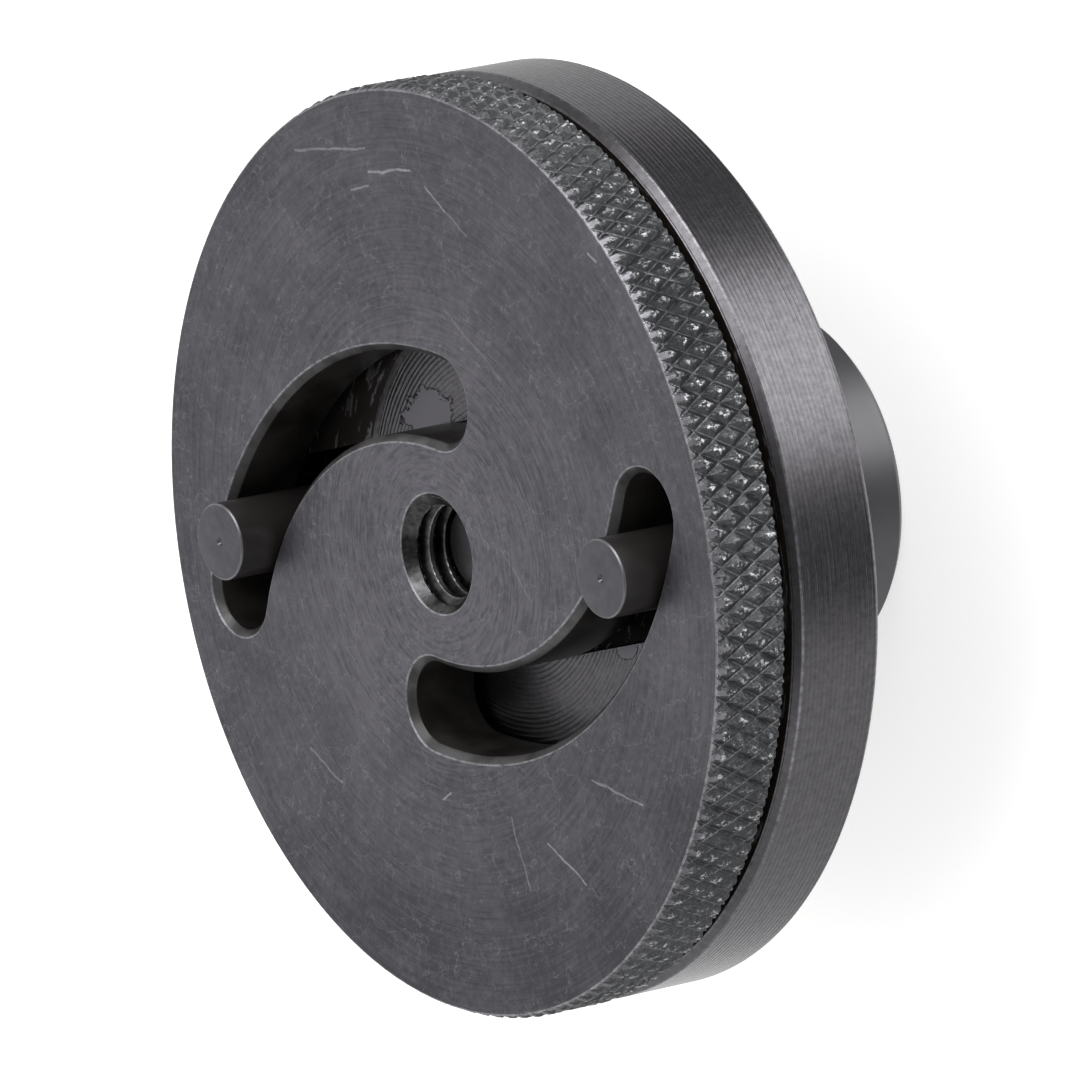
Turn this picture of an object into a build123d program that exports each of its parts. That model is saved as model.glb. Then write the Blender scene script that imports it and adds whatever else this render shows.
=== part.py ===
from build123d import *
from math import cos, radians, sin, sqrt
import os

os.makedirs("parts", exist_ok=True)

# Two-pin adjustable head for a watch case press. Turning the knurled cam disc moves two pins in or out.
# The origin is the centre of the shank's end face, on which the head stands. +Z runs up the main axis to
# the pins, and the slide pocket runs along X. Everything is in millimetres.

# ---------------------------------------------------------------------------------------------------
# Driving sizes
# ---------------------------------------------------------------------------------------------------
shank_r = 9.5
shank_h = 13.5
shank_chamfer = 0.5

head_r = 25.0               # knurl crests of the cam disc
base_step = 0.1             # the plain disc is this much smaller in radius than the knurl
base_h = 5.45
base_front_chamfer = 0.4
base_back_chamfer = 0.3
seat_r = 12.7               # raised middle of the base's front, which the cam disc rests towards
seat_rise = 0.4

disc_gap = 0.75             # between the base's rim and the cam disc
cam_h = 4.25
cam_front_drop = 0.65       # front chamfer of the knurl, along Z
cam_front_run = 0.3         # front chamfer of the knurl, along the radius
cam_back_chamfer = 0.15

slot_inner_reach = 8.3      # from the axis to the slot's centreline at its inner end
slot_rim_land = 5.65        # from the knurl crests in to the slot's centreline at its outer end
slot_sweep = 79.0           # degrees of arc from the inner to the outer end
slot_edge_break = 0.4
rest_along_slot = 68.5      # degrees of arc from the slot's inner end to the pin, as stored
rest_cam_angle = 69.2       # direction of the right slot's arc centre from +X, as stored

turn_out = 10.0             # degrees the disc turns back from rest, pins outwards
turn_in = 57.0              # degrees the disc turns on from rest, pins inwards

pin_r = 2.1
pin_slot_clearance = 0.15
pin_reach = 1.95            # pin above the front face
pin_edge_break = 0.15
pin_foot_r = 1.5
centre_mark_r = 0.3
centre_mark_depth = 0.3

pocket_half_w = 6.65
pocket_depth = 2.95
pocket_corner_r = 3.0
pocket_rim_wall = 2.7       # from the base's rim in to the pocket's end
island_r = 5.5              # stud of metal left standing round the hub's bore
slide_side_clearance = 0.25
slide_floor_clearance = 0.05
slide_top_clearance = 0.15
slide_wall = 1.1            # least metal round a pin's foot

hub_r = 4.0
hub_clearance = 0.03
washer_play = 0.02          # axial play each side of the thrust washer
wave_h = 0.8
wave_t = 0.4
wave_play = 0.05
wave_r = 6.8
retaining_washer_r = 7.0
retaining_washer_t = 1.6
spring_washer_r = 5.9
spring_washer_t = 1.6
spring_washer_split = 1.0
counterbore_clearance = 0.6

thread_root_r = 2.5         # M6 tapped hole, drawn at its minor radius
thread_mouth_r = 3.27
screw_neck_r = 2.95
screw_hole_clearance = 0.15
screw_head_r = 5.0
screw_head_h = 3.9
screw_head_recess = 1.05    # from the shank's end face up to the screw head
screw_tip_depth = 2.4       # from the front face down to the screw's end
screw_tip_chamfer = 0.4
driver_slot_w = 1.6
driver_slot_depth = 2.0

# ---------------------------------------------------------------------------------------------------
# Sizes worked out from them
# ---------------------------------------------------------------------------------------------------
base_r = head_r - base_step
base_top = shank_h + base_h
seat_top = base_top + seat_rise
cam_bottom = base_top + disc_gap
face_z = cam_bottom + cam_h
pocket_floor = base_top - pocket_depth
pocket_end = base_r - pocket_rim_wall

# The slot is one arc that leaves the inner reach square to the radius and sweeps out to the outer reach.
slot_outer_reach = head_r - slot_rim_land
versine = 1 - cos(radians(slot_sweep))
reach_gain = slot_outer_reach**2 - slot_inner_reach**2
slot_arc_r = (slot_inner_reach + sqrt(slot_inner_reach**2 + 2 * reach_gain / versine)) / 2
slot_offset = slot_arc_r - slot_inner_reach
slot_half_w = pin_r + pin_slot_clearance
slot_start = rest_cam_angle + 180
arc_x = slot_offset * cos(radians(rest_cam_angle))
arc_y = slot_offset * sin(radians(rest_cam_angle))
pin_direction = radians(slot_start + rest_along_slot)
pin_x = arc_x + slot_arc_r * cos(pin_direction)
pin_y = arc_y + slot_arc_r * sin(pin_direction)


def pin_travel(turn):
    """Place of the right pin when the disc has turned, with the slide held square to the pocket."""
    angle = radians(rest_cam_angle + turn)
    return (pin_x - arc_x + slot_offset * cos(angle), pin_y - arc_y + slot_offset * sin(angle))


outermost = pin_travel(-turn_out)
innermost = pin_travel(turn_in)
highest_y = pin_travel(90 - rest_cam_angle)[1]
lowest_y = min(outermost[1], innermost[1])

# The slide is the largest block that stays clear of the pocket's walls and island all the way.
slide_reach_out = pocket_end - slide_side_clearance - outermost[0]
slide_reach_down = pocket_half_w - slide_side_clearance + lowest_y
slide_reach_up = pocket_half_w - slide_side_clearance - highest_y
slide_reach_in = pin_foot_r + slide_wall
slide_bottom = pocket_floor + slide_floor_clearance
slide_top = base_top - slide_top_clearance
slide_nose_r = island_r + slide_side_clearance

screw_seat = screw_head_recess + screw_head_h
washer_seat = screw_seat + spring_washer_t
hub_end = washer_seat + retaining_washer_t
counterbore_depth = hub_end + wave_h + wave_play
counterbore_r = retaining_washer_r + counterbore_clearance
screw_tip = face_z - screw_tip_depth

# ---------------------------------------------------------------------------------------------------
# base: disc and shank turned from one bar, bored for the hub, with the slide pocket milled in its face
# ---------------------------------------------------------------------------------------------------
with BuildPart() as base:
    with BuildSketch(Plane.XY):
        Circle(shank_r)
    extrude(amount=shank_h)
    with BuildSketch(Plane.XY.offset(shank_h)):
        Circle(base_r)
    extrude(amount=base_h)
    rims = base.edges().filter_by(GeomType.CIRCLE).group_by(Axis.Z)
    chamfer(rims[0], length=shank_chamfer)
    rims = base.edges().filter_by(GeomType.CIRCLE).sort_by(SortBy.RADIUS)[-2:].sort_by(Axis.Z)
    chamfer(rims[0], length=base_back_chamfer)
    rims = base.edges().filter_by(GeomType.CIRCLE).sort_by(Axis.Z)
    chamfer(rims[-1], length=base_front_chamfer)
    with BuildSketch(Plane.XY.offset(base_top)):
        Circle(seat_r)
    extrude(amount=seat_rise)
    with BuildSketch(Plane.XY.offset(seat_top)):
        RectangleRounded(2 * pocket_end, 2 * pocket_half_w, pocket_corner_r)
        Circle(island_r, mode=Mode.SUBTRACT)
    extrude(amount=-seat_rise - pocket_depth, mode=Mode.SUBTRACT)
    with Locations(-Plane.XY):
        CounterBoreHole(hub_r + hub_clearance, counterbore_r, counterbore_depth)
base.part.label = "base"
export_step(base.part, "parts/base.step")

# ---------------------------------------------------------------------------------------------------
# cam_disc: knurled disc and hub in one piece, with two arc slots and a tapped centre hole
# ---------------------------------------------------------------------------------------------------
with BuildPart() as cam_disc:
    with BuildSketch(Plane.XY.offset(hub_end)):
        Circle(hub_r)
    extrude(amount=cam_bottom - hub_end)
    with BuildSketch(Plane.XY.offset(cam_bottom)):
        Circle(head_r)
    extrude(amount=cam_h)
    rims = cam_disc.edges().filter_by(GeomType.CIRCLE).sort_by(SortBy.RADIUS)[-2:].sort_by(Axis.Z)
    chamfer(rims[0], length=cam_back_chamfer)
    front = cam_disc.faces().sort_by(Axis.Z)[-1]
    chamfer(front.edges(), length=cam_front_run, length2=cam_front_drop, reference=front)
    with BuildSketch(Plane.XY.offset(face_z)):
        for side in (0, 180):
            angle = radians(rest_cam_angle + side)
            centre = (slot_offset * cos(angle), slot_offset * sin(angle))
            SlotArc(CenterArc(centre, slot_arc_r, slot_start + side, slot_sweep), 2 * slot_half_w)
    extrude(amount=-cam_h, mode=Mode.SUBTRACT)
    front = cam_disc.faces().sort_by(Axis.Z)[-1]
    for mouth in front.inner_wires():
        chamfer(mouth.edges(), length=slot_edge_break)
    with Locations((0, 0, face_z)):
        CounterSinkHole(thread_root_r, thread_mouth_r, counter_sink_angle=90)
cam_disc.part.label = "cam_disc"
export_step(cam_disc.part, "parts/cam_disc.step")

# ---------------------------------------------------------------------------------------------------
# slides and pins: a block in each end of the pocket, with a turned pin pressed into it
# ---------------------------------------------------------------------------------------------------
for name, side in (("right", 0), ("left", 180)):
    with BuildPart() as slide:
        with BuildSketch(Plane.XY.offset(slide_bottom)):
            with Locations((pin_x - slide_reach_in, pin_y - slide_reach_down)):
                Rectangle(
                    slide_reach_in + slide_reach_out,
                    slide_reach_down + slide_reach_up,
                    align=(Align.MIN, Align.MIN),
                )
            # the nose is hollowed to pass the island when the pins are fully in
            with Locations((pin_x - innermost[0], pin_y - innermost[1])):
                Circle(slide_nose_r, mode=Mode.SUBTRACT)
            with Locations((pin_x, pin_y)):
                Circle(pin_foot_r, mode=Mode.SUBTRACT)
        extrude(amount=slide_top - slide_bottom)
        outer_corners = slide.edges().filter_by(Axis.Z).group_by(Axis.X)[-1]
        fillet(outer_corners, radius=pocket_corner_r)
    with BuildPart() as pin:
        with BuildSketch(Plane.XY.offset(slide_bottom)):
            with Locations((pin_x, pin_y)):
                Circle(pin_foot_r)
        extrude(amount=slide_top - slide_bottom)
        with BuildSketch(Plane.XY.offset(slide_top)):
            with Locations((pin_x, pin_y)):
                Circle(pin_r)
        extrude(amount=face_z + pin_reach - slide_top)
        chamfer(pin.faces().sort_by(Axis.Z)[-1].edges(), length=pin_edge_break)
        with Locations((pin_x, pin_y, face_z + pin_reach)):
            Cone(0, centre_mark_r, centre_mark_depth, align=(Align.CENTER, Align.CENTER, Align.MAX),
                 mode=Mode.SUBTRACT)
    for piece, kind in ((slide, "slide"), (pin, "pin")):
        turned = piece.part.rotate(Axis.Z, side)
        turned.label = f"{kind}_{name}"
        export_step(turned, f"parts/{kind}_{name}.step")

# ---------------------------------------------------------------------------------------------------
# thrust_washer: carries the cam disc on the island
# ---------------------------------------------------------------------------------------------------
with BuildPart() as thrust_washer:
    with BuildSketch(Plane.XY.offset(seat_top + washer_play)):
        Circle(island_r)
        Circle(hub_r + screw_hole_clearance, mode=Mode.SUBTRACT)
    extrude(amount=disc_gap - seat_rise - 2 * washer_play)
thrust_washer.part.label = "thrust_washer"
export_step(thrust_washer.part, "parts/thrust_washer.step")

# ---------------------------------------------------------------------------------------------------
# wave_washer: curved spring washer between the base and the retaining washer
# ---------------------------------------------------------------------------------------------------
wave_rise = wave_h - wave_t
wave_bend_r = (wave_r**2 / wave_rise + wave_rise) / 2
with BuildPart() as wave_washer:
    with BuildSketch(Plane.XY.offset(hub_end)):
        Circle(wave_r)
        Circle(hub_r + screw_hole_clearance, mode=Mode.SUBTRACT)
    extrude(amount=wave_h)
    with BuildSketch(Plane.XZ):
        with Locations((0, hub_end + wave_h - wave_bend_r)):
            Circle(wave_bend_r)
            Circle(wave_bend_r - wave_t, mode=Mode.SUBTRACT)
    extrude(amount=wave_r, both=True, mode=Mode.INTERSECT)
wave_washer.part.label = "wave_washer"
export_step(wave_washer.part, "parts/wave_washer.step")

# ---------------------------------------------------------------------------------------------------
# retaining_washer and spring_washer: under the screw head
# ---------------------------------------------------------------------------------------------------
with BuildPart() as retaining_washer:
    with BuildSketch(Plane.XY.offset(washer_seat)):
        Circle(retaining_washer_r)
        Circle(screw_neck_r + screw_hole_clearance, mode=Mode.SUBTRACT)
    extrude(amount=retaining_washer_t)
retaining_washer.part.label = "retaining_washer"
export_step(retaining_washer.part, "parts/retaining_washer.step")

with BuildPart() as spring_washer:
    with BuildSketch(Plane.XY.offset(screw_seat)):
        Circle(spring_washer_r)
        Circle(screw_neck_r + screw_hole_clearance, mode=Mode.SUBTRACT)
        Rectangle(spring_washer_r, spring_washer_split, align=(Align.MIN, Align.CENTER), mode=Mode.SUBTRACT)
    extrude(amount=spring_washer_t)
spring_washer.part.label = "spring_washer"
export_step(spring_washer.part, "parts/spring_washer.step")

# ---------------------------------------------------------------------------------------------------
# retaining_screw: M6 cheese-head screw up into the hub, its end just short of the front face
# ---------------------------------------------------------------------------------------------------
with BuildPart() as retaining_screw:
    with BuildSketch(Plane.XY.offset(screw_head_recess)):
        Circle(screw_head_r)
    extrude(amount=screw_head_h)
    with BuildSketch(Plane.XY.offset(screw_seat)):
        Circle(screw_neck_r)
    extrude(amount=hub_end - screw_seat)
    with BuildSketch(Plane.XY.offset(hub_end)):
        Circle(thread_root_r)
    extrude(amount=screw_tip - hub_end)
    chamfer(retaining_screw.faces().sort_by(Axis.Z)[-1].edges(), length=screw_tip_chamfer)
    with BuildSketch(Plane.XY.offset(screw_head_recess)):
        Rectangle(2 * screw_head_r, driver_slot_w)
    extrude(amount=driver_slot_depth, mode=Mode.SUBTRACT)
retaining_screw.part.label = "retaining_screw"
export_step(retaining_screw.part, "parts/retaining_screw.step")

print(f"slot arc radius {slot_arc_r:.4f}, arc centre ({arc_x:.4f}, {arc_y:.4f}), pin ({pin_x:.4f}, {pin_y:.4f})")
print(f"face {face_z:.3f}, pin top {face_z + pin_reach:.3f}, screw length {screw_tip - screw_seat:.3f}")
print(f"innermost {innermost}, outermost {outermost}")
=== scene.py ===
from math import asin, cos, pi, radians, sin, tan

import bmesh
import bpy
import numpy as np
from mathutils import Matrix, Vector
from mathutils.geometry import tessellate_polygon


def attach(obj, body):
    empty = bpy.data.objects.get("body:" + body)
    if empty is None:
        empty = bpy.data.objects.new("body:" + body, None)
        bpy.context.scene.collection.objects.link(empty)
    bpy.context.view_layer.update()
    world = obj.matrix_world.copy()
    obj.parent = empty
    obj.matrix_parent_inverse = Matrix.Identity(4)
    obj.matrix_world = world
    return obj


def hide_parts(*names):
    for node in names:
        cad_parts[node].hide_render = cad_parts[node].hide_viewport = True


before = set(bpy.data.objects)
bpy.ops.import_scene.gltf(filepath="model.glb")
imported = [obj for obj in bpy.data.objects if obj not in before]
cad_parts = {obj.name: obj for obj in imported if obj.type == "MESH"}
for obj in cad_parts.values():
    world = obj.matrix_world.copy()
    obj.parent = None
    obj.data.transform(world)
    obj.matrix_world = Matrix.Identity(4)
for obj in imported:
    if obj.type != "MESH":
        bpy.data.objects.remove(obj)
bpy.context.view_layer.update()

# ---------------------------------------------------------------------------------------------------
# Base: the plain rear disc with the shank that goes into the press, turned from one bar of mild steel
# and chemically blacked. The pocket across its front is milled, and the hub bore and the counterbore
# under it are bored from the shank's end.
# ---------------------------------------------------------------------------------------------------


class Piece:
    """A closed skin put together sheet by sheet in millimetres, then welded into one mesh."""

    def __init__(self):
        self.points, self.wear, self.faces, self.finishes = [], [], [], []
        self.count = 0

    def add(self, points, faces, wear, finish):
        self.points.append(np.reshape(points, (-1, 3)))
        self.wear.append(np.ravel(wear))
        self.faces += [[self.count + corner for corner in face] for face in faces]
        self.finishes += [finish] * len(faces)
        self.count += len(self.points[-1])

    def wrap(self, rows, wear, finish=0):
        """Rows of points that each close on themselves, joined row to row. Wear is one number a row."""
        rows = np.asarray(rows, float)
        lines, across = rows.shape[:2]
        near = np.arange(across)
        far = np.roll(near, -1)
        faces = []
        for row in range(lines - 1):
            here, below = row * across, (row + 1) * across
            faces += np.stack([here + near, here + far, below + far, below + near], 1).tolist()
        self.add(rows, faces, np.repeat(np.asarray(wear, float), across), finish)

    def fill(self, loops, finish=0):
        """A flat face inside the first loop and outside the others."""
        points = np.concatenate(loops)
        faces = tessellate_polygon([[Vector(p) for p in loop] for loop in loops])
        self.add(points, [list(face) for face in faces], np.zeros(len(points)), finish)

    def make(self, name, materials, body, node, crease=24):
        """Welds the sheets, keeps the wear on the points, and puts the piece on its body."""
        points, wear = np.concatenate(self.points), np.concatenate(self.wear)
        weld_grid = 5000
        cells = np.round(points * weld_grid).astype(np.int64)
        keys, weld = np.unique(cells, axis=0, return_inverse=True)
        weld = weld.ravel()
        worn = np.zeros(len(keys))
        np.maximum.at(worn, weld, wear)
        where = np.zeros((len(keys), 3))
        where[weld] = points
        mesh = bpy.data.meshes.new(name)
        mesh.from_pydata((where / 1000).tolist(), [], [weld[face].tolist() for face in self.faces])
        for material in materials:
            mesh.materials.append(material)
        mesh.polygons.foreach_set("material_index", self.finishes)
        mesh.attributes.new("wear", "FLOAT", "POINT").data.foreach_set("value", worn)
        skin = bmesh.new()
        skin.from_mesh(mesh)
        bmesh.ops.recalc_face_normals(skin, faces=skin.faces)
        skin.to_mesh(mesh)
        skin.free()
        mesh.shade_smooth()
        mesh.set_sharp_from_angle(angle=radians(crease))
        piece = bpy.data.objects.new(name, mesh)
        bpy.context.scene.collection.objects.link(piece)
        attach(piece, body)
        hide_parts(node)
        return piece


def turned(profile, segments, centre=(0, 0)):
    """Rows of points for a profile of (radius, height) turned about an upright axis."""
    angle = np.arange(segments) * 2 * pi / segments
    r, z = np.array(profile, float).T
    return np.stack(
        [
            centre[0] + r[:, None] * np.cos(angle),
            centre[1] + r[:, None] * np.sin(angle),
            z[:, None] + 0 * angle,
        ],
        -1,
    )


def add_node(tree, kind, inputs, out=0, **settings):
    """Adds one node with its settings, fills or links its inputs, and returns the output asked for."""
    node = tree.nodes.new(kind)
    for setting, value in settings.items():
        setattr(node, setting, value)
    for socket, value in inputs.items():
        if isinstance(value, bpy.types.NodeSocket):
            tree.links.new(value, node.inputs[socket])
        else:
            node.inputs[socket].default_value = value
    return node.outputs[out] if len(node.outputs) else node


def linear(colour):
    """An sRGB hex colour as linear RGBA."""
    levels = [int(colour[k : k + 2], 16) / 255 for k in (1, 3, 5)]
    return [v / 12.92 if v <= 0.04045 else ((v + 0.055) / 1.055) ** 2.4 for v in levels] + [1.0]


def steel(name, roughness):
    """A metal with its own base colour and roughness still to be linked, and its wear and place to read."""
    material = bpy.data.materials.new(name)
    material.use_nodes = True
    tree = material.node_tree
    tree.nodes.clear()
    place = add_node(tree, "ShaderNodeTexCoord", {}, "Object")
    millimetres = add_node(tree, "ShaderNodeVectorMath", {0: place, "Scale": 1000.0}, operation="SCALE")
    worn = add_node(tree, "ShaderNodeAttribute", {}, "Fac", attribute_name="wear")
    shader = tree.nodes.new("ShaderNodeBsdfPrincipled")
    shader.inputs["Metallic"].default_value = 1.0
    shader.inputs["Roughness"].default_value = roughness
    add_node(tree, "ShaderNodeOutputMaterial", {0: shader.outputs[0]})
    return material, tree, shader, millimetres, worn


def round_axis(tree, millimetres):
    """Distance from the main axis, height, and the direction from the axis, for marks that run round it."""
    flat = add_node(tree, "ShaderNodeVectorMath", {0: millimetres, 1: (1, 1, 0)}, operation="MULTIPLY")
    radius = add_node(tree, "ShaderNodeVectorMath", {0: flat}, "Value", operation="LENGTH")
    way = add_node(tree, "ShaderNodeVectorMath", {0: flat}, operation="NORMALIZE")
    height = add_node(tree, "ShaderNodeSeparateXYZ", {0: millimetres}, 2)
    return radius, height, way


base_r, base_top, shank_r, shank_h = 24.9, 18.95, 9.5, 13.5
seat_r, seat_top = 12.7, 19.35
pocket_end, pocket_half, pocket_corner, pocket_floor = 22.2, 6.65, 3.0, 16.0
island_r, bore_r, counterbore_r, counterbore_top = 5.5, 4.03, 7.6, 9.0
base_segments, island_segments = 360, 120
turned_film, oily_film, shank_film = 0, 1, 2

base = Piece()
shank_rows = turned(
    [
        (bore_r + 0.1, seat_top),
        (bore_r, seat_top - 0.1),
        (bore_r, counterbore_top),
        (counterbore_r, counterbore_top),
        (counterbore_r, 0.12),
        (counterbore_r + 0.12, 0),
        (shank_r - 0.5, 0),
        (shank_r - 0.02, 0.48),
        (shank_r, 0.52),
        (shank_r, shank_h - 0.15),
        (shank_r + 0.04, shank_h - 0.04),
        (shank_r + 0.15, shank_h),
    ],
    base_segments,
)
base.wrap(shank_rows, [0, 0.2, 0, 0, 0, 0.5, 0.2, 0.6, 0.3, 0, 0, 0], shank_film)
rim_rows = turned(
    [
        (base_r - 0.3, shank_h),
        (base_r - 0.02, shank_h + 0.28),
        (base_r, shank_h + 0.33),
        (base_r, shank_h + 0.38),
        (base_r, base_top - 0.5),
        (base_r, base_top - 0.44),
        (base_r - 0.03, base_top - 0.38),
        (base_r - 0.07, base_top - 0.33),
        (base_r - 0.33, base_top - 0.07),
        (base_r - 0.36, base_top - 0.04),
        (base_r - 0.43, base_top),
    ],
    base_segments,
)
rim_wear = [0, 0, 1, 0.6, 0, 0, 0.4, 0.5, 0, 0, 0.6, 0]
base.wrap(np.concatenate([shank_rows[-1:], rim_rows]), rim_wear, turned_film)


def pocket_outline(z):
    """The pocket's mouth, a long rectangle with round corners."""
    loop = []
    for quarter, (sx, sy) in enumerate(((1, 1), (-1, 1), (-1, -1), (1, -1))):
        for step in range(13):
            a = radians(90 * quarter + 7.5 * step)
            loop.append(
                (
                    sx * (pocket_end - pocket_corner) + pocket_corner * cos(a),
                    sy * (pocket_half - pocket_corner) + pocket_corner * sin(a),
                    z,
                )
            )
    return loop


def seat_outline(side, r, z):
    """One half of the raised middle, a round piece cut off straight by the pocket."""
    cut = pocket_half + 0.15 * (seat_r - r)
    start = asin(cut / r)
    return [(side * r * cos(a), side * r * sin(a), z) for a in np.linspace(start, pi - start, 73)]


pocket = [pocket_outline(base_top), pocket_outline(pocket_floor)]
base.wrap(pocket, [0, 0], oily_film)
island = turned(
    [(island_r, pocket_floor), (island_r, seat_top - 0.1), (island_r - 0.1, seat_top)], island_segments
)
base.wrap(island, [0, 0.5, 0], oily_film)
base.fill([rim_rows[-1], pocket[0]], oily_film)
base.fill([pocket[-1], island[0]], oily_film)
base.fill([island[-1], shank_rows[0]], turned_film)
for side in (1, -1):
    seat = [
        seat_outline(side, seat_r, base_top),
        seat_outline(side, seat_r, seat_top - 0.06),
        seat_outline(side, seat_r - 0.06, seat_top),
        seat_outline(side, seat_r - 0.5, seat_top),
        seat_outline(side, seat_r - 0.54, seat_top),
    ]
    base.wrap(seat, [0, 0.4, 0.5, 0.5, 0], turned_film)
    base.fill(seat[:1], turned_film)
    base.fill(seat[-1:], turned_film)

# Blacked turned steel: the tool leaves a spiral of ridges about 0.27 mm apart on the rim and the front,
# satin under the thin black film. The edges have rubbed lighter, and the discs' touching has burnished
# two smooth patches on the front, with a ragged dark outline.
blacked_turned, tree, shader, millimetres, worn = steel("blacked_turned_steel", 0.27)
radius, height, way = round_axis(tree, millimetres)
along = add_node(tree, "ShaderNodeMath", {0: height, 1: 0.93, 2: radius}, operation="MULTIPLY_ADD")
ridge_pitch, ridge_height = 0.27, 0.000005
ridge_step = add_node(tree, "ShaderNodeMath", {0: along, 1: 1 / ridge_pitch}, operation="MULTIPLY")
ridge_vector = add_node(tree, "ShaderNodeCombineXYZ", {2: ridge_step})
ridge_at = add_node(
    tree, "ShaderNodeVectorMath", {0: way, 1: (3.5, 3.5, 0), 2: ridge_vector}, operation="MULTIPLY_ADD"
)
uneven = add_node(
    tree, "ShaderNodeTexNoise", {"Vector": ridge_at, "Scale": 1.3, "Detail": 3.0, "Roughness": 0.65}
)
phase = add_node(tree, "ShaderNodeMath", {0: ridge_step, 1: 2 * pi}, operation="MULTIPLY")
phase = add_node(tree, "ShaderNodeMath", {0: uneven, 1: 5.0, 2: phase}, operation="MULTIPLY_ADD")
ridges = add_node(tree, "ShaderNodeMath", {0: phase}, operation="SINE")
ridges = add_node(tree, "ShaderNodeMath", {0: uneven, 1: 2.6, 2: ridges}, operation="MULTIPLY_ADD")
ragged = add_node(
    tree, "ShaderNodeTexNoise", {"Vector": millimetres, "Scale": 1.1, "Detail": 5.0, "Roughness": 0.7}
)
smooth_patch, outline = 0.0, 0.0
for x, y, half_long, half_wide in ((-4.9, 7.3, 2.4, 1.4), (8.9, -6.9, 1.0, 0.5)):
    off = add_node(tree, "ShaderNodeVectorMath", {0: millimetres, 1: (x, y, 0)}, operation="SUBTRACT")
    off = add_node(
        tree, "ShaderNodeVectorMath", {0: off, 1: (1 / half_long, 1 / half_wide, 0)}, operation="MULTIPLY"
    )
    reach = add_node(tree, "ShaderNodeVectorMath", {0: off}, "Value", operation="LENGTH")
    reach = add_node(tree, "ShaderNodeMath", {0: ragged, 1: 1.6, 2: reach}, operation="MULTIPLY_ADD")
    inside = add_node(tree, "ShaderNodeMapRange", {0: reach, 1: 1.72, 2: 1.8, 3: 1.0, 4: 0.0})
    line_there = add_node(tree, "ShaderNodeMath", {0: reach, 1: 1.78, 2: 0.035}, operation="COMPARE")
    smooth_patch = add_node(tree, "ShaderNodeMath", {0: smooth_patch, 1: inside}, operation="MAXIMUM")
    outline = add_node(tree, "ShaderNodeMath", {0: outline, 1: line_there}, operation="MAXIMUM")
on_front = add_node(tree, "ShaderNodeMath", {0: height, 1: base_top}, operation="GREATER_THAN")
smooth_patch = add_node(tree, "ShaderNodeMath", {0: smooth_patch, 1: on_front}, operation="MULTIPLY")
outline = add_node(tree, "ShaderNodeMath", {0: outline, 1: on_front}, operation="MULTIPLY")
smooth = add_node(tree, "ShaderNodeMath", {0: worn, 1: 1.8, 2: smooth_patch}, operation="MULTIPLY_ADD")
ridged = add_node(tree, "ShaderNodeMath", {0: 1.0, 1: smooth}, operation="SUBTRACT", use_clamp=True)
ridges = add_node(tree, "ShaderNodeMath", {0: ridges, 1: ridged}, operation="MULTIPLY")
bump = add_node(
    tree, "ShaderNodeBump", {"Strength": 1.0, "Distance": ridge_height, "Height": ridges}, "Normal"
)
tree.links.new(bump, shader.inputs["Normal"])
speckle = add_node(
    tree, "ShaderNodeTexNoise", {"Vector": millimetres, "Scale": 2.6, "Detail": 3.0, "Roughness": 0.7}
)
speckle = add_node(tree, "ShaderNodeMapRange", {0: speckle, 1: 0.3, 2: 0.7, 3: 0.0, 4: 1.0})
tone = add_node(tree, "ShaderNodeMath", {0: speckle, 1: 0.55, 2: 0.22}, operation="MULTIPLY_ADD")
tone = add_node(
    tree, "ShaderNodeMath", {0: ridges, 1: 0.13, 2: tone}, operation="MULTIPLY_ADD", use_clamp=True
)
shade = add_node(
    tree, "ShaderNodeMix", {0: tone, 6: linear("#4f4d4f"), 7: linear("#747276")}, 2, data_type="RGBA"
)
shade = add_node(
    tree, "ShaderNodeMix", {0: smooth_patch, 6: shade, 7: linear("#6f6d73")}, 2, data_type="RGBA"
)
shade = add_node(tree, "ShaderNodeMix", {0: outline, 6: shade, 7: linear("#1a1818")}, 2, data_type="RGBA")
rubbed_off = add_node(tree, "ShaderNodeMath", {0: worn, 1: speckle}, operation="MULTIPLY")
shade = add_node(tree, "ShaderNodeMix", {0: rubbed_off, 6: shade, 7: linear("#a3a2a6")}, 2, data_type="RGBA")
tree.links.new(shade, shader.inputs["Base Color"])

# Oily black film: the pocket and the low outer ring of the front never rub, so the film stays whole and
# holds oil. It reads black, with a few bright streaks that run round the axis.
oily_black, tree, shader, millimetres, worn = steel("oily_black_film", 0.3)
radius, _, way = round_axis(tree, millimetres)
step = add_node(tree, "ShaderNodeMath", {0: radius, 1: 2.6}, operation="MULTIPLY")
upright = add_node(tree, "ShaderNodeCombineXYZ", {2: step})
at = add_node(tree, "ShaderNodeVectorMath", {0: way, 1: (9, 9, 0), 2: upright}, operation="MULTIPLY_ADD")
streak = add_node(tree, "ShaderNodeTexNoise", {"Vector": at, "Scale": 1.0, "Detail": 3.0, "Roughness": 0.6})
streak = add_node(tree, "ShaderNodeMapRange", {0: streak, 1: 0.59, 2: 0.66, 3: 0.0, 4: 1.0})
shade = add_node(
    tree, "ShaderNodeMix", {0: streak, 6: linear("#241f1d"), 7: linear("#b4b2b6")}, 2, data_type="RGBA"
)
tree.links.new(streak, shader.inputs["Metallic"])
shade = add_node(tree, "ShaderNodeMix", {0: worn, 6: shade, 7: linear("#5a595b")}, 2, data_type="RGBA")
tree.links.new(shade, shader.inputs["Base Color"])

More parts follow.
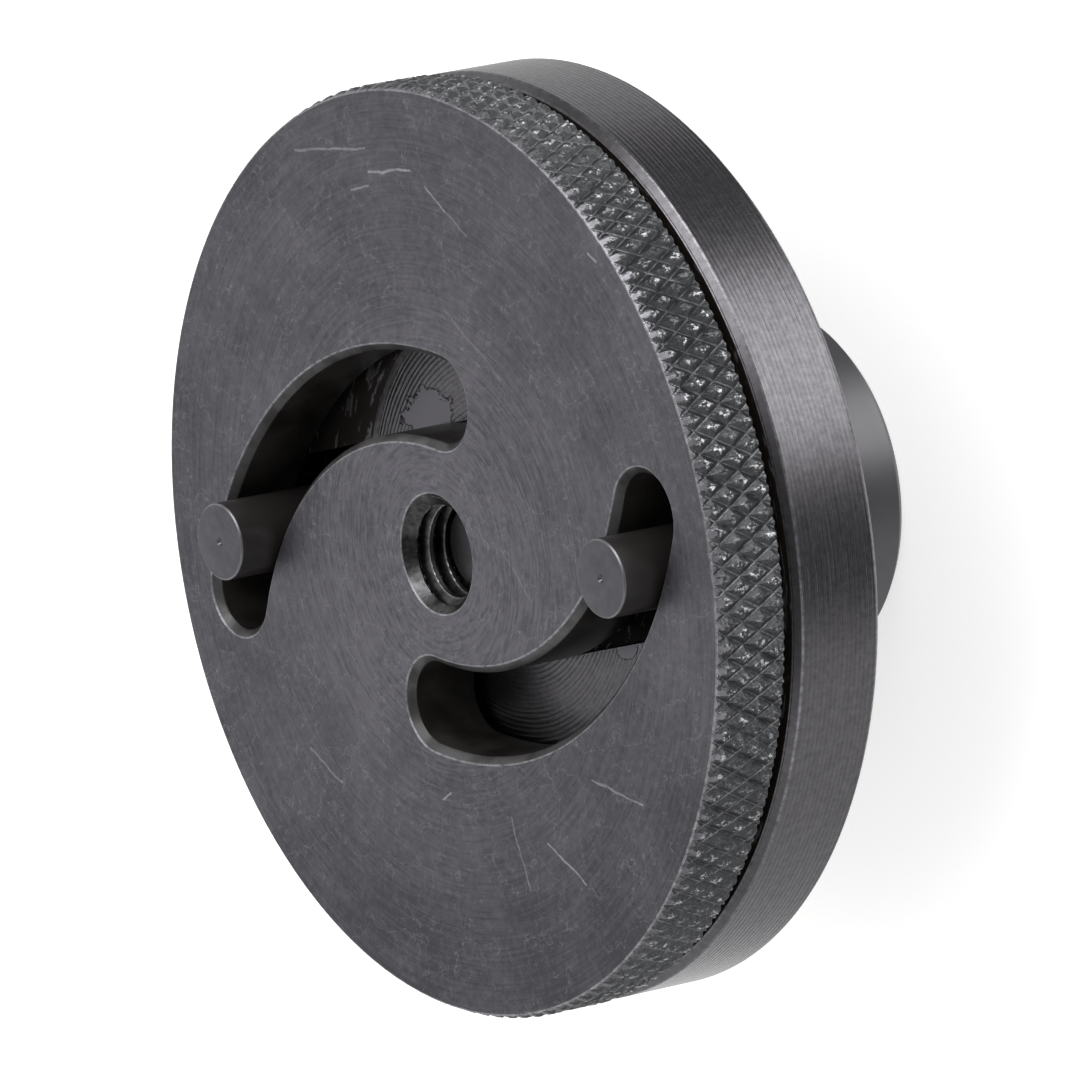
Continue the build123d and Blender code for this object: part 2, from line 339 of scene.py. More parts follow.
# Blacked shank steel: turned finer than the rim and duller, an even dark grey.
blacked_shank, tree, shader, millimetres, worn = steel("blacked_shank_steel", 0.42)
cloud = add_node(tree, "ShaderNodeTexNoise", {"Vector": millimetres, "Scale": 0.5, "Detail": 4.0})
shade = add_node(
    tree, "ShaderNodeMix", {0: cloud, 6: linear("#4a494b"), 7: linear("#5b5a5d")}, 2, data_type="RGBA"
)
shade = add_node(tree, "ShaderNodeMix", {0: worn, 6: shade, 7: linear("#8a898c")}, 2, data_type="RGBA")
tree.links.new(shade, shader.inputs["Base Color"])

base.make("base_body", [blacked_turned, oily_black, blacked_shank], "base", "base")

# ---------------------------------------------------------------------------------------------------
# Cam disc: the front disc, steel, faced and turned, with a rolled diamond knurl round its rim. Two
# curved slots are milled through it, the middle is drilled, countersunk and tapped M6, and its hub runs
# in the base's bore. All of it is blacked, and the face and edges are rubbed by use.
# ---------------------------------------------------------------------------------------------------
head_r, cam_bottom, face_z, hub_r, hub_end = 24.985, 19.7, 23.95, 4.0, 8.15
cam_h = face_z - cam_bottom
knurl_teeth, knurl_steps, knurl_depth, knurl_helix = 130, 12, 0.3, radians(30)
front_run, front_drop, back_chamfer = 0.3, 0.65, 0.15
faced_finish, knurled_finish, milled_finish, tapped_finish = 0, 1, 2, 3

round_pitch = 2 * pi * head_r / knurl_teeth
row_gap = round_pitch / tan(knurl_helix) / knurl_steps
groove_pitch = round_pitch * cos(knurl_helix)
crest_from = groove_pitch * 4 / knurl_steps
fine_rows = [0.035, 0.09, 0.16, 0.23, 0.3, 0.37, 0.44, 0.51, 0.58]
knurled_rows = int((cam_h - back_chamfer - front_drop) / row_gap) + 1
whole_rows = [front_drop + k * row_gap for k in range(knurled_rows)]
drops = np.array(fine_rows + whole_rows + [cam_h - back_chamfer, cam_h])

chance = np.random.default_rng(7)
columns = knurl_teeth * knurl_steps
column = np.arange(columns)[None, :]
line = ((drops - front_drop) / row_gap)[:, None]
left_way, right_way = (column + line) / knurl_steps, (column - line) / knurl_steps
bite = chance.uniform(0.86, 1.1, (2, knurl_teeth))


def groove(way, family):
    """How far down the nearest groove of one family a point lies, 0 on a crest to 1 at the root."""
    nearest = np.round(way)
    off = np.abs(way - nearest) * groove_pitch
    return np.clip(1 - off / crest_from, 0, 1) * bite[family][nearest.astype(int) % knurl_teeth]


cut = np.maximum(groove(left_way, 0), groove(right_way, 1))
crest = cut < 0.02
rough = chance.uniform(0, 0.07, cut.shape) * crest + chance.uniform(0, 0.022, cut.shape)
depth = drops[:, None]
front_limit = head_r - front_run + front_run / front_drop * depth
back_limit = head_r - np.maximum(depth - (cam_h - back_chamfer), 0)
limit = np.minimum(front_limit, back_limit)
radius_there = np.minimum(limit, head_r - knurl_depth * cut - rough)
radius_there[0] = np.minimum(radius_there[0], head_r - front_run + 0.02)
turn_there = column * 2 * pi / columns + 0 * depth
height_there = face_z - depth + 0 * turn_there
knurl = np.stack([radius_there * np.cos(turn_there), radius_there * np.sin(turn_there), height_there], -1)
tooth_kinds = 997
tooth = (np.floor(left_way).astype(int) * 31 + np.floor(right_way).astype(int) * 17) % tooth_kinds
rubbed = chance.uniform(0.1, 1.0, tooth_kinds)[tooth]
knurl_wear = np.clip(1 - cut / 0.24, 0, 1) * rubbed
knurl_wear = np.where(radius_there >= limit - 1e-6, 0.3, knurl_wear)
knurl_wear[0] = 1.0

# The part of each tooth that the front chamfer has cut away is a smooth lobe, not knurled. Each square of
# the grid splits along the groove line that crosses it, where one does, so that the grooves stay straight.
on_chamfer = radius_there >= front_limit - 1e-6
knurl_faces, lobe_faces = [], []
rows, across = knurl.shape[:2]
for row in range(rows - 1):
    whole = int(round(float(line[row, 0])))
    for k in range(across):
        after = (k + 1) % across
        a, b = row * across + k, row * across + after
        c, d = a + across, b + across
        if (k - whole) % 4 == 0 or (k + whole + 1) % 4 == 2:
            pair = [[a, b, d], [a, d, c]]
        else:
            pair = [[a, b, c], [b, d, c]]
        smooth = on_chamfer[row, k] and on_chamfer[row, after] and on_chamfer[row + 1, k]
        (lobe_faces if smooth else knurl_faces).extend(pair)

cam = Piece()
cam.add(knurl, knurl_faces, knurl_wear, knurled_finish)
cam.add(knurl, lobe_faces, knurl_wear, faced_finish)

face_edge = turned([(head_r - front_run - 0.09, face_z), (head_r - front_run - 0.04, face_z)], columns)
cam.wrap(np.concatenate([face_edge, knurl[:1]]), [0, 1, 1], faced_finish)

slot_arc_r, slot_offset, slot_half, rest_cam_angle, slot_sweep = 18.5031, 10.2031, 2.25, 69.2, 79.0
points_along, points_round_end = 61, 29


def slot_outline(side, half, z):
    """A curved slot's outline at a half width: its outer side, one end, its inner side, the other end."""
    turned_by = radians(rest_cam_angle + side)
    middle = np.array([slot_offset * cos(turned_by), slot_offset * sin(turned_by)])
    start, sweep = turned_by + pi, radians(slot_sweep)
    loop = []
    for angle in np.linspace(start, start + sweep, points_along):
        out = np.array([cos(angle), sin(angle)])
        loop.append(middle + slot_arc_r * out + half * out)
    tip = middle + slot_arc_r * np.array([cos(start + sweep), sin(start + sweep)])
    for angle in np.linspace(start + sweep, start + sweep + pi, points_round_end)[1:-1]:
        loop.append(tip + half * np.array([cos(angle), sin(angle)]))
    for angle in np.linspace(start + sweep, start, points_along):
        out = np.array([cos(angle), sin(angle)])
        loop.append(middle + slot_arc_r * out - half * out)
    tip = middle + slot_arc_r * np.array([cos(start), sin(start)])
    for angle in np.linspace(start + pi, start + 2 * pi, points_round_end)[1:-1]:
        loop.append(tip + half * np.array([cos(angle), sin(angle)]))
    return [(x, y, z) for x, y in loop]


# How much wider than the slot each row is, how far it lies from the face, and its wear.
slot_rows = (
    (0.45, 0, 0),
    (0.42, 0, 1),
    (0.37, -0.03, 1),
    (0.33, -0.07, 0.22),
    (0.03, -0.37, 0.22),
    (0, -0.43, 0.15),
    (0, -0.5, 0),
    (0, -cam_h + 0.1, 0),
    (0.1, -cam_h, 0),
)
slots = []
for side in (0, 180):
    rows = [slot_outline(side, slot_half + wider, face_z + z) for wider, z, _ in slot_rows]
    slots.append(np.array(rows))
slot_wear = [wear for _, _, wear in slot_rows]
for slot in slots:
    cam.wrap(slot[:4], slot_wear[:4], faced_finish)
    cam.wrap(slot[3:], slot_wear[3:], milled_finish)

# The tapped hole: a 90 degree countersink that runs out into M6 threads 1 mm apart.
thread_root, thread_depth, thread_pitch, mouth_r = 2.5, 0.55, 1.0, 3.27
hole_segments, hole_step = 240, 0.03
hole_angle = np.arange(hole_segments) * 2 * pi / hole_segments
hole_drops = np.concatenate([[0, 0, 0.035], np.arange(0.06, 4.1, hole_step)])
turns_in = (hole_drops[:, None] / thread_pitch + hole_angle[None, :] / (2 * pi) + 0.1) % 1
thread = thread_root + thread_depth * np.clip(1.25 - np.abs(turns_in - 0.5) * 3.3, 0, 1)
countersink = mouth_r - hole_drops[:, None]
run_out = np.clip((3.9 - hole_drops[:, None]) / 0.3, 0, 1)
hole_r = np.maximum(countersink, thread_root + (thread - thread_root) * run_out)
hole_wear = 0.7 * np.clip(1 - (hole_r - thread_root) / 0.08, 0, 1) * (hole_drops[:, None] > 0.5)
hole_wear = np.where(hole_drops[:, None] < 2.35, hole_wear, 0)
hole_r[0], hole_r[1] = mouth_r + 0.06, mouth_r + 0.02
hole_wear[0], hole_wear[1:3] = 0, 1
hole_z = face_z - hole_drops[:, None] + 0 * hole_angle
hole = np.stack([hole_r * np.cos(hole_angle), hole_r * np.sin(hole_angle), hole_z], -1)
cam.wrap(hole[:3], [0, 1, 1], faced_finish)
hole_faces = []
for row in range(len(hole_drops) - 3):
    for k in range(hole_segments):
        here = row * hole_segments + k
        beside = row * hole_segments + (k + 1) % hole_segments
        hole_faces.append([here, beside, beside + hole_segments, here + hole_segments])
mouth_wear = 0.3 + 0 * hole_wear[2:3]
cam.add(hole[2:], hole_faces, np.concatenate([mouth_wear, hole_wear[3:]]), tapped_finish)
bore = turned(
    [(thread_root, hub_end), (hub_r - 0.2, hub_end), (hub_r, hub_end + 0.2), (hub_r, cam_bottom)],
    hole_segments,
)
cam.wrap(np.concatenate([hole[-1:], bore]), [0, 0, 0, 0, 0], tapped_finish)
cam.fill([face_edge[0], slots[0][0], slots[1][0], hole[0]], faced_finish)
cam.fill([knurl[-1], slots[0][-1], slots[1][-1], bore[-1]], milled_finish)

# Blacked faced steel: the facing tool leaves rings 0.1 to 0.3 mm apart, plainest round the middle, and
# use leaves a cloudy bloom, pale specks, faint crooked hairlines and a few longer scratches. The colour also
# has painted light and shade: it is lighter towards the middle and darker low down.
blacked_faced, tree, shader, millimetres, worn = steel("blacked_faced_steel", 0.42)
radius, _, way = round_axis(tree, millimetres)
ring_depth = 0.000006
grain = []
for pitch, around, detail in ((0.16, 5.0, 2.0), (0.4, 3.0, 3.0)):
    step = add_node(tree, "ShaderNodeMath", {0: radius, 1: 1 / pitch}, operation="MULTIPLY")
    upright = add_node(tree, "ShaderNodeCombineXYZ", {2: step})
    at = add_node(
        tree, "ShaderNodeVectorMath", {0: way, 1: (around, around, 0), 2: upright}, operation="MULTIPLY_ADD"
    )
    grain.append(
        add_node(tree, "ShaderNodeTexNoise", {"Vector": at, "Scale": 1.0, "Detail": detail, "Roughness": 0.6})
    )
ring_height = add_node(tree, "ShaderNodeMath", {0: grain[0], 1: 0.5, 2: grain[1]}, operation="MULTIPLY_ADD")
bump = add_node(
    tree, "ShaderNodeBump", {"Strength": 1.0, "Distance": ring_depth, "Height": ring_height}, "Normal"
)
tree.links.new(bump, shader.inputs["Normal"])
cloud = add_node(
    tree, "ShaderNodeTexNoise", {"Vector": millimetres, "Scale": 0.16, "Detail": 6.0, "Roughness": 0.7}
)
bloom = add_node(
    tree, "ShaderNodeTexNoise", {"Vector": millimetres, "Scale": 2.2, "Detail": 5.0, "Roughness": 0.75}
)
near_middle = add_node(tree, "ShaderNodeMapRange", {0: radius, 1: 15.0, 2: 9.0, 3: 0.7, 4: 1.5})
ring_tone = add_node(tree, "ShaderNodeMath", {0: grain[0], 1: -0.5}, operation="ADD")
ring_tone = add_node(tree, "ShaderNodeMath", {0: ring_tone, 1: near_middle}, operation="MULTIPLY")
tone = add_node(tree, "ShaderNodeMath", {0: bloom, 1: 0.85, 2: ring_tone}, operation="MULTIPLY_ADD")
tone = add_node(tree, "ShaderNodeMath", {0: cloud, 1: 0.9, 2: tone}, operation="MULTIPLY_ADD")
tone = add_node(tree, "ShaderNodeMapRange", {0: tone, 1: 0.53, 2: 1.2, 3: 0.0, 4: 1.0})
# Painted light and shade: the colour is painted lighter towards the middle of the face and darker low down,
# towards -Y, for how the light falls across it.
lighter = add_node(tree, "ShaderNodeMapRange", {0: radius, 1: 18.0, 2: 4.0, 3: 0.0, 4: 0.3})
painted_shade_y = add_node(tree, "ShaderNodeSeparateXYZ", {0: millimetres}, 1)
darker = add_node(tree, "ShaderNodeMapRange", {0: painted_shade_y, 1: -6.0, 2: -20.0, 3: 0.0, 4: 0.3})
tone = add_node(tree, "ShaderNodeMath", {0: tone, 1: lighter}, operation="ADD")
tone = add_node(tree, "ShaderNodeMath", {0: tone, 1: darker}, operation="SUBTRACT", use_clamp=True)
shade = add_node(
    tree, "ShaderNodeMix", {0: tone, 6: linear("#525156"), 7: linear("#7a787f")}, 2, data_type="RGBA"
)
marks = add_node(tree, "ShaderNodeMapRange", {0: bloom, 1: 0.68, 2: 0.78, 3: 0.0, 4: 0.5})
for scale, half_width, strength in ((0.28, 0.006, 0.45), (0.5, 0.007, 0.3)):
    crooked = add_node(
        tree, "ShaderNodeTexNoise", {"Vector": millimetres, "Scale": scale, "Detail": 4.0, "Roughness": 0.55}
    )
    off = add_node(tree, "ShaderNodeMath", {0: crooked, 1: -0.5}, operation="ADD")
    off = add_node(tree, "ShaderNodeMath", {0: off}, operation="ABSOLUTE")
    hairline = add_node(tree, "ShaderNodeMapRange", {0: off, 1: 0.0, 2: half_width, 3: strength, 4: 0.0})
    hairline = add_node(tree, "ShaderNodeMath", {0: hairline, 1: bloom}, operation="MULTIPLY")
    marks = add_node(tree, "ShaderNodeMath", {0: marks, 1: hairline}, operation="ADD")
wobble = add_node(tree, "ShaderNodeVectorMath", {0: millimetres, "Scale": 0.35}, operation="SCALE")
wobble = add_node(tree, "ShaderNodeTexNoise", {"Vector": wobble, "Scale": 1.0, "Detail": 3.0}, "Color")
shaken = add_node(
    tree, "ShaderNodeVectorMath", {0: wobble, 1: (0.9, 0.9, 0), 2: millimetres}, operation="MULTIPLY_ADD"
)
# The longer scratches: the two ends of each in millimetres from the middle, and how plain it is.
for ends, strength in (
    (((4.9, -16.1), (7.7, -18.6)), 0.80),
    (((2.1, -14.4), (2.5, -18.2)), 0.45),
    (((10.2, -13.1), (14.3, -14.9)), 0.60),
    (((0.6, 20.4), (4.6, 19.9)), 0.90),
    (((-5.6, 22.5), (0.8, 21.7)), 0.60),
    (((5.7, 18.9), (7.0, 17.5)), 0.70),
    (((7.0, 17.5), (8.5, 15.9)), 0.40),
    (((-15.5, -8.9), (-13.0, -11.0)), 0.50),
    (((-3.9, -12.8), (-2.9, -12.5)), 0.80),
    (((19.1, 13.5), (19.6, 13.1)), 1.00),
    (((3.1, -10.0), (3.5, -10.6)), 1.20),
    (((-1.3, 19.6), (0.4, 19.7)), 0.70),
    (((5.3, 12.4), (9.1, 8.2)), 0.25),
    (((6.0, -0.4), (7.8, -3.3)), 0.20),
):
    start, end = Vector((*ends[0], 0)), Vector((*ends[1], 0))
    run = end - start
    shaken_start = (start.x + 0.45, start.y + 0.45, 0)
    off = add_node(tree, "ShaderNodeVectorMath", {0: shaken, 1: shaken_start}, operation="SUBTRACT")
    off = add_node(tree, "ShaderNodeVectorMath", {0: off, 1: (1, 1, 0)}, operation="MULTIPLY")
    share = add_node(
        tree, "ShaderNodeVectorMath", {0: off, 1: run / run.length_squared}, "Value", operation="DOT_PRODUCT"
    )
    share = add_node(tree, "ShaderNodeMath", {0: share, 1: 1.0}, operation="MULTIPLY", use_clamp=True)
    along_it = add_node(tree, "ShaderNodeVectorMath", {0: run, "Scale": share}, operation="SCALE")
    away = add_node(tree, "ShaderNodeVectorMath", {0: off, 1: along_it}, "Value", operation="DISTANCE")
    scratch = add_node(tree, "ShaderNodeMapRange", {0: away, 1: 0.03, 2: 0.09, 3: 1.6 * strength, 4: 0.0})
    scratch = add_node(tree, "ShaderNodeMath", {0: scratch, 1: bloom}, operation="MULTIPLY")
    marks = add_node(tree, "ShaderNodeMath", {0: marks, 1: scratch}, operation="ADD", use_clamp=True)
shade = add_node(tree, "ShaderNodeMix", {0: marks, 6: shade, 7: linear("#b9b8bd")}, 2, data_type="RGBA")
rubbed_off = add_node(tree, "ShaderNodeMapRange", {0: bloom, 1: 0.35, 2: 0.62, 3: 0.15, 4: 1.0})
rubbed_off = add_node(tree, "ShaderNodeMath", {0: rubbed_off, 1: worn}, operation="MULTIPLY")
shade = add_node(tree, "ShaderNodeMix", {0: rubbed_off, 6: shade, 7: linear("#b6b6ba")}, 2, data_type="RGBA")
tree.links.new(shade, shader.inputs["Base Color"])

# Blacked knurled steel: rough dark flanks, a thin pale line of painted light along the bottom of each groove,
# where the groove would otherwise lie in shade, and small broken bright flecks on the crests that hands have
# rubbed.
blacked_knurled, tree, shader, millimetres, worn = steel("blacked_knurled_steel", 0.4)
x = add_node(tree, "ShaderNodeSeparateXYZ", {0: millimetres}, 0)
y = add_node(tree, "ShaderNodeSeparateXYZ", {0: millimetres}, 1)
z = add_node(tree, "ShaderNodeSeparateXYZ", {0: millimetres}, 2)
teeth_round = add_node(tree, "ShaderNodeMath", {0: y, 1: x}, operation="ARCTAN2")
teeth_round = add_node(
    tree, "ShaderNodeMath", {0: teeth_round, 1: knurl_teeth / (2 * pi)}, operation="MULTIPLY"
)
teeth_down = add_node(
    tree,
    "ShaderNodeMath",
    {0: z, 1: -1 / (row_gap * knurl_steps), 2: (face_z - front_drop) / (row_gap * knurl_steps)},
    operation="MULTIPLY_ADD",
)
speck = add_node(
    tree, "ShaderNodeTexNoise", {"Vector": millimetres, "Scale": 4.5, "Detail": 3.0, "Roughness": 0.7}
)
broken = add_node(tree, "ShaderNodeTexNoise", {"Vector": millimetres, "Scale": 1.3, "Detail": 2.0})
# The pale line worked out below is painted light along the bottom of each groove, lifting the shade that
# falls there.
root = None
for operation in ("ADD", "SUBTRACT"):
    groove_at = add_node(tree, "ShaderNodeMath", {0: teeth_round, 1: teeth_down}, operation=operation)
    off = add_node(tree, "ShaderNodeMath", {0: groove_at, 1: 0.5}, operation="PINGPONG")
    root = off if root is None else add_node(tree, "ShaderNodeMath", {0: root, 1: off}, operation="MINIMUM")
root = add_node(tree, "ShaderNodeMapRange", {0: root, 1: 0.015, 2: 0.06, 3: 1.0, 4: 0.0})
broken = add_node(tree, "ShaderNodeMapRange", {0: broken, 1: 0.35, 2: 0.65, 3: 0.05, 4: 0.6})
root = add_node(tree, "ShaderNodeMath", {0: root, 1: broken}, operation="MULTIPLY")
shade = add_node(
    tree, "ShaderNodeMix", {0: speck, 6: linear("#2a2b2c"), 7: linear("#6a6b6d")}, 2, data_type="RGBA"
)
shade = add_node(tree, "ShaderNodeMix", {0: root, 6: shade, 7: linear("#b4b4b6")}, 2, data_type="RGBA")
fleck = add_node(tree, "ShaderNodeMapRange", {0: speck, 1: 0.51, 2: 0.6, 3: 0.0, 4: 1.5})
fleck = add_node(tree, "ShaderNodeMath", {0: fleck, 1: worn}, operation="MULTIPLY", use_clamp=True)
shade = add_node(tree, "ShaderNodeMix", {0: fleck, 6: shade, 7: linear("#cfcfd1")}, 2, data_type="RGBA")
tree.links.new(shade, shader.inputs["Base Color"])
pit_depth = 0.00006
pits = add_node(tree, "ShaderNodeBump", {"Strength": 1.0, "Distance": pit_depth, "Height": speck}, "Normal")
tree.links.new(pits, shader.inputs["Normal"])

# Blacked milled steel: slot walls and the disc's back, smooth and thickly blacked, with a film of oil.
blacked_milled, tree, shader, millimetres, worn = steel("blacked_milled_steel", 0.3)
patchy = add_node(tree, "ShaderNodeTexNoise", {"Vector": millimetres, "Scale": 0.5, "Detail": 4.0})
patchy = add_node(tree, "ShaderNodeMapRange", {0: patchy, 1: 0.4, 2: 0.62, 3: 0.0, 4: 1.0})
shade = add_node(
    tree, "ShaderNodeMix", {0: patchy, 6: linear("#24211f"), 7: linear("#393735")}, 2, data_type="RGBA"
)
patchy = add_node(tree, "ShaderNodeMapRange", {0: patchy, 1: 0.0, 2: 1.0, 3: 0.6, 4: 2.2})
patchy = add_node(tree, "ShaderNodeMath", {0: patchy, 1: worn}, operation="MULTIPLY", use_clamp=True)
shade = add_node(tree, "ShaderNodeMix", {0: patchy, 6: shade, 7: linear("#828184")}, 2, data_type="RGBA")
tree.links.new(patchy, shader.inputs["Metallic"])
tree.links.new(shade, shader.inputs["Base Color"])

# Tapped blacked steel: the countersink and the thread, dark, with the thread's crests rubbed lighter.
tapped_steel, tree, shader, millimetres, worn = steel("tapped_blacked_steel", 0.3)
smear = add_node(
    tree, "ShaderNodeTexNoise", {"Vector": millimetres, "Scale": 1.6, "Detail": 4.0, "Roughness": 0.7}
)
smear = add_node(tree, "ShaderNodeMapRange", {0: smear, 1: 0.35, 2: 0.65, 3: 0.0, 4: 1.0})
shade = add_node(
    tree, "ShaderNodeMix", {0: smear, 6: linear("#3c3b3c"), 7: linear("#6c6b6d")}, 2, data_type="RGBA"
)
shade = add_node(
    tree, "ShaderNodeMix", {0: worn, 6: shade, 7: linear("#b8b8ba")}, 2, data_type="RGBA"
)
tree.links.new(shade, shader.inputs["Base Color"])

cam.make(
    "cam_disc_body",
    [blacked_faced, blacked_knurled, blacked_milled, tapped_steel],
    "cam",
    "cam_disc",
)

# ---------------------------------------------------------------------------------------------------
# Pins: two short turned steel pins that catch the notches of a case back. Each is pressed by its foot
# into a slide. Their tops are faced, with the tiny mark of the centre drill left in the middle.
# ---------------------------------------------------------------------------------------------------
pin_r, pin_foot_r, pin_top, slide_bottom, slide_top = 2.1, 1.5, 25.9, 16.05, 18.8
pin_place = (17.3087, -2.9147)
pin_segments, bright_end, black_side = 96, 0, 1

worn_pin, tree, shader, millimetres, worn = steel("worn_pin_steel", 0.36)
speck = add_node(tree, "ShaderNodeTexNoise", {"Vector": millimetres, "Scale": 1.6, "Detail": 4.0})
shade = add_node(
    tree, "ShaderNodeMix", {0: speck, 6: linear("#58575b"), 7: linear("#75747a")}, 2, data_type="RGBA"
)
shade = add_node(tree, "ShaderNodeMix", {0: worn, 6: shade, 7: linear("#a4a4a7")}, 2, data_type="RGBA")
tree.links.new(shade, shader.inputs["Base Color"])

# Blacked pin steel: the pin's side keeps its film and reads almost black.
blacked_pin, tree, shader, _, worn = steel("blacked_pin_steel", 0.3)
shade = add_node(
    tree, "ShaderNodeMix", {0: worn, 6: linear("#282524"), 7: linear("#a4a4a7")}, 2, data_type="RGBA"
)
tree.links.new(worn, shader.inputs["Metallic"])
tree.links.new(shade, shader.inputs["Base Color"])

for side, way in (("right", 1), ("left", -1)):
    pin = Piece()
    rows = turned(
        [
            (pin_foot_r, slide_bottom),
            (pin_foot_r, slide_top),
            (pin_r, slide_top),
            (pin_r, pin_top - 0.13),
            (pin_r - 0.015, pin_top - 0.07),
            (pin_r - 0.07, pin_top - 0.015),
            (pin_r - 0.12, pin_top),
            (0.24, pin_top),
            (0.1, pin_top - 0.14),
        ],
        pin_segments,
        (way * pin_place[0], way * pin_place[1]),
    )
    pin.wrap(rows[:5], [0, 0, 0, 0, 0.5], black_side)
    pin.wrap(rows[4:], [0.5, 0.6, 0, 0, 0.25], bright_end)
    pin.fill([rows[0]], black_side)
    pin.fill([rows[-1]], bright_end)
    pin.make(f"pin_{side}_turned", [worn_pin, blacked_pin], f"{side}_slide", f"pin_{side}")

# ---------------------------------------------------------------------------------------------------
# Slides: two small milled blocks of steel that run in the base's pocket and carry the pins. They are
# blacked and oiled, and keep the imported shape. The oil lies in darker and lighter smears.
# ---------------------------------------------------------------------------------------------------
oiled_slide, tree, shader, millimetres, _ = steel("oiled_slide_steel", 0.32)
smear = add_node(
    tree, "ShaderNodeTexNoise", {"Vector": millimetres, "Scale": 0.7, "Detail": 4.0, "Roughness": 0.6}
)
shade = add_node(
    tree, "ShaderNodeMix", {0: smear, 6: linear("#3f3e3f"), 7: linear("#5a595a")}, 2, data_type="RGBA"
)
tree.links.new(shade, shader.inputs["Base Color"])
for name in ("slide_right", "slide_left"):
    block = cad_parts[name]
    block.data.materials.clear()
    block.data.materials.append(oiled_slide)

# ---------------------------------------------------------------------------------------------------
# Washers and screw: a brass thrust washer between the discs, a wave washer that takes up the play, and
# a plain and a spring washer under the M6 cheese-head screw that holds the cam disc's hub from behind.
# Each metal has a faint cloudiness left by handling and oil.
# ---------------------------------------------------------------------------------------------------
small_part_metals = []
for finish, roughness, darker, lighter in (
    ("plain_brass", 0.3, "#b8914d", "#d6b06a"),
    ("spring_steel", 0.28, "#7b7b80", "#98989b"),
    ("blacked_fastener_steel", 0.4, "#5a5a5d", "#77777a"),
):
    material, tree, shader, millimetres, _ = steel(finish, roughness)
    cloud = add_node(
        tree, "ShaderNodeTexNoise", {"Vector": millimetres, "Scale": 0.9, "Detail": 4.0, "Roughness": 0.6}
    )
    shade = add_node(
        tree, "ShaderNodeMix", {0: cloud, 6: linear(darker), 7: linear(lighter)}, 2, data_type="RGBA"
    )
    tree.links.new(shade, shader.inputs["Base Color"])
    small_part_metals.append(material)
plain_brass, spring_steel, blacked_fastener = small_part_metals
for name, material, slot_name in (
    ("thrust_washer", plain_brass, "washer_brass"),
    ("wave_washer", spring_steel, "spring_steel"),
    ("retaining_washer", blacked_fastener, "fastener_steel"),
    ("spring_washer", blacked_fastener, "fastener_steel"),
    ("retaining_screw", blacked_fastener, "fastener_steel"),
):
    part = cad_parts[name]
    part.data.materials.clear()
    part.data.materials.append(material)

# ---------------------------------------------------------------------------------------------------
# Bench and light: a plain pale table under an even surround, with five bright softboxes and seven dark
# screens in it. All have soft edges, so that the turned rims show broad soft bands. The table doesn't
# hide the low softboxes from the metal.
# ---------------------------------------------------------------------------------------------------
table_mesh = bpy.data.meshes.new("table")
half_table = 4.0
table_mesh.from_pydata(
    [
        (-half_table, -half_table, 0),
        (half_table, -half_table, 0),
        (half_table, half_table, 0),
        (-half_table, half_table, 0),
    ],
    [],
    [(0, 1, 2, 3)],
)
table = bpy.data.objects.new("table", table_mesh)
bpy.context.scene.collection.objects.link(table)
pale_laminate = bpy.data.materials.new("pale_laminate")
pale_laminate.use_nodes = True
surface = pale_laminate.node_tree.nodes["Principled BSDF"]
surface.inputs["Base Color"].default_value = linear("#f6f6f5")
surface.inputs["Roughness"].default_value = 0.9
surface.inputs["Specular IOR Level"].default_value = 0.0
surface.inputs["Emission Color"].default_value = linear("#ffffff")
surface.inputs["Emission Strength"].default_value = 0.6
table_mesh.materials.append(pale_laminate)
table.visible_glossy = False
table.visible_shadow = False

studio = bpy.data.worlds.new("studio")
bpy.context.scene.world = studio
studio.use_nodes = True
tree = studio.node_tree
tree.nodes.clear()
outward = add_node(tree, "ShaderNodeTexCoord", {}, "Generated")
surround, seen_surround = 0.7, 0.96
brightness = surround

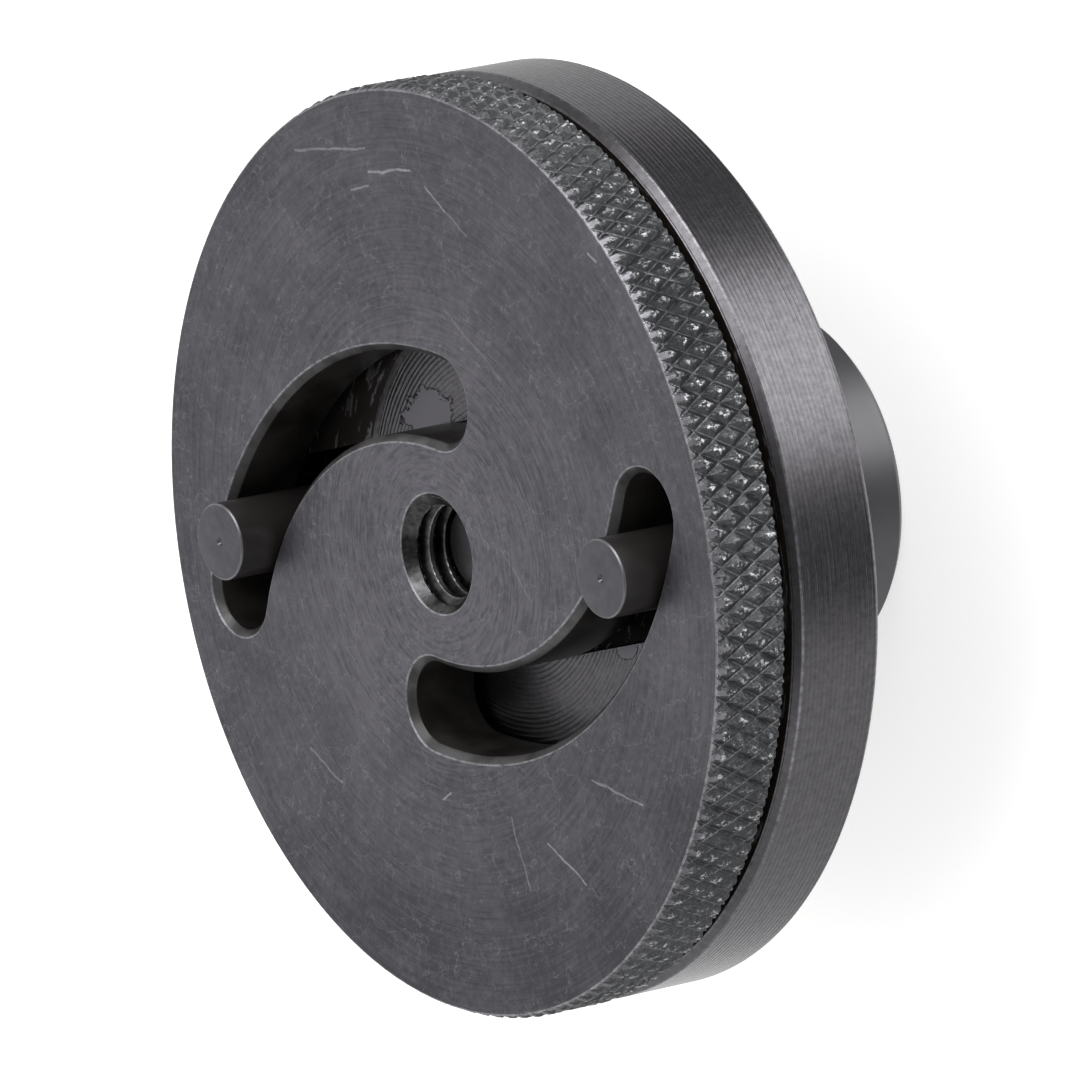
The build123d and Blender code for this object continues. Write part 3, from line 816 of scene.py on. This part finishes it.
# Azimuth, elevation, and the angles from the middle where the soft edge starts and ends, all in degrees,
# and the level.
for azimuth, elevation, inner, outer, level in (
    (-20, 55, 16, 36, 0.1),
    (-98, 32, 10, 24, 0.45),
    (108, 27, 6, 18, 0.25),
    (65, 38, 12, 26, 3.0),
    (98, 0, 14, 28, 0.3),
    (2, 15, 8, 20, 0.4),
    (-52, 9, 16, 30, 1.1),
    (60, 8, 14, 26, 3.6),
    (28, -34, 14, 28, 2.8),
    (80, -34, 14, 26, 0.15),
    (-16, -36, 8, 24, 0.06),
    (-168, -34, 8, 26, 1.1),
):
    way = (
        cos(radians(elevation)) * cos(radians(azimuth)),
        cos(radians(elevation)) * sin(radians(azimuth)),
        sin(radians(elevation)),
    )
    toward = add_node(tree, "ShaderNodeVectorMath", {0: outward, 1: way}, "Value", operation="DOT_PRODUCT")
    share = add_node(
        tree,
        "ShaderNodeMapRange",
        {0: toward, 1: cos(radians(outer)), 2: cos(radians(inner)), 3: 0.0, 4: 1.0},
        interpolation_type="SMOOTHSTEP",
    )
    brightness = add_node(tree, "ShaderNodeMix", {0: share, 2: brightness, 3: level}, data_type="FLOAT")
seen = add_node(tree, "ShaderNodeLightPath", {}, "Is Camera Ray")
brightness = add_node(tree, "ShaderNodeMix", {0: seen, 2: brightness, 3: seen_surround}, data_type="FLOAT")
sky = add_node(tree, "ShaderNodeBackground", {"Color": (1, 1, 1, 1), "Strength": brightness})
add_node(tree, "ShaderNodeOutputWorld", {0: sky})

overhead = bpy.data.lights.new("overhead_softbox", "AREA")
overhead.shape = "DISK"
overhead.size = 0.9
overhead.energy = 1.5
overhead_lamp = bpy.data.objects.new("overhead_softbox", overhead)
overhead_lamp.location = (0.0, 0.0, 1.2)
overhead_lamp.visible_camera = False
overhead_lamp.visible_glossy = False
bpy.context.scene.collection.objects.link(overhead_lamp)

# ---------------------------------------------------------------------------------------------------
# Camera: a long lens, turned so that the head shows its face and its rim, with its up side along +Y.
# ---------------------------------------------------------------------------------------------------
right = Vector((0.5535, -0.1957, -0.8095)).normalized()
ahead = Vector((-0.8255, 0.0, -0.5644)).normalized()
up = right.cross(ahead).normalized()
right = ahead.cross(up).normalized()
face_middle = Vector((0, 0, face_z / 1000))
away, aside, above = 0.6957, 0.00546, 0.00074
camera_data = bpy.data.cameras.new("camera")
camera_data.sensor_width = 36.0
camera_data.lens = 440.6
camera_data.clip_start = 0.01
camera_data.clip_end = 12.0
camera = bpy.data.objects.new("camera", camera_data)
spot = face_middle + aside * right + above * up - away * ahead
camera.matrix_world = Matrix(
    (
        (right.x, up.x, -ahead.x, spot.x),
        (right.y, up.y, -ahead.y, spot.y),
        (right.z, up.z, -ahead.z, spot.z),
        (0, 0, 0, 1),
    )
)
bpy.context.scene.collection.objects.link(camera)
bpy.context.scene.camera = camera
bpy.context.scene.view_settings.view_transform = "Standard"
